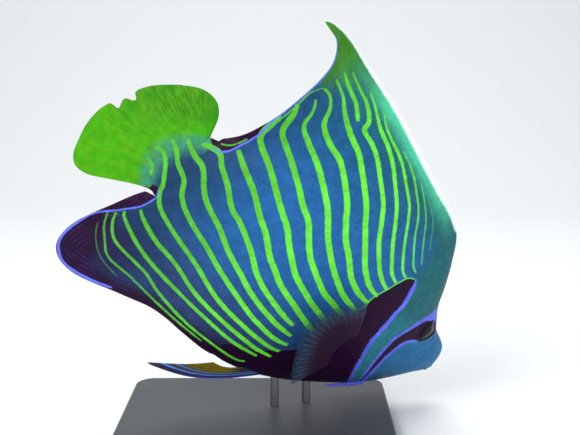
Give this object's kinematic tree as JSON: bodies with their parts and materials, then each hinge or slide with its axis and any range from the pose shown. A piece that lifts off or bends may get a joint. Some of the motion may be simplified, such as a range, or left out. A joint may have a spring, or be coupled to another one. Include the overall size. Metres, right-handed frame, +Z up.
{
  "type": "emperor angelfish display model",
  "caption": "Life-size still model of an adult emperor angelfish turning head-down, striped body, long pointed dorsal fin, on a flat base with short rods.",
  "frame": {"origin": "middle of the whole part's box at the underside of the stand base", "axes": "+Z up, +X toward the side the fish's head faces, -Y toward the viewer, who sees the fish's right flank"},
  "size_m": [0.2752, 0.14, 0.2808],
  "materials": {
    "skin": "painted scales, satin, blue with yellow-green stripes and a dark mask",
    "fin": "thin painted membrane with raised rays, satin",
    "tail_fin": "thin painted membrane with raised rays, satin yellow-green",
    "eye": "wet gloss",
    "base": "satin charcoal powder coat",
    "rod": "brushed"
  },
  "bodies": {
    "root": {"head": "skin", "torso": "skin", "tail_stalk": "skin", "dorsal_fin": "fin", "anal_fin": "fin", "caudal_fin": "tail_fin", "pectoral_fin_right": "fin", "pectoral_fin_left": "fin", "pelvic_fin_right": "fin", "pelvic_fin_left": "fin", "eye_right": "eye", "eye_left": "eye", "stand_base": "base", "stand_rod_front": "rod", "stand_rod_rear": "rod"}
  },
  "joints": []
}
